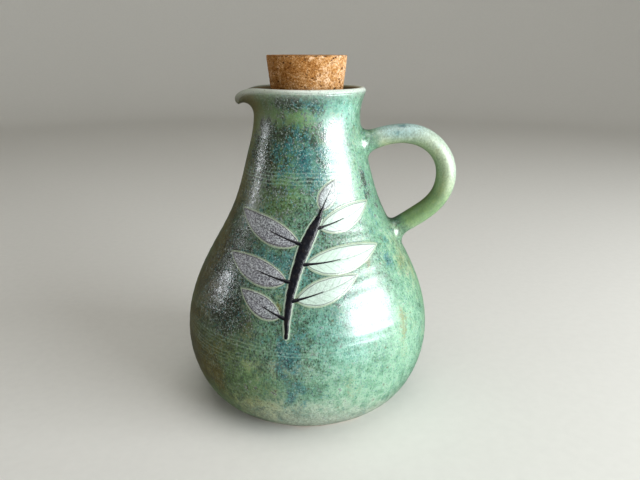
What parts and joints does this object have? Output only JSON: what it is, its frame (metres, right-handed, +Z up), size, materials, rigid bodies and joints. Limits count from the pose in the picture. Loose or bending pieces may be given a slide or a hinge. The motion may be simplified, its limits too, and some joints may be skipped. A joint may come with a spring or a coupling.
{
  "type": "stoneware oil cruet",
  "caption": "Glazed stoneware oil cruet: thrown pear-shaped body, pulled pouring spout, looped side handle and a tapered cork stopper.",
  "frame": {"origin": "on the jug's turning axis, at the centre of the flat face that it stands on", "axes": "+Z up along the turning axis; +X towards the handle; -X towards the pouring spout; -Y is the decorated front"},
  "size_m": [0.1065, 0.0982, 0.1363],
  "materials": {
    "glazed_stoneware": "satin-gloss mottled sage and teal glaze over stoneware, with a raised black slip stem and incised grey leaves",
    "cork": "matt agglomerated cork with fine dark pits"
  },
  "bodies": {
    "root": {"jug": "glazed_stoneware", "cork": "cork"}
  },
  "joints": []
}
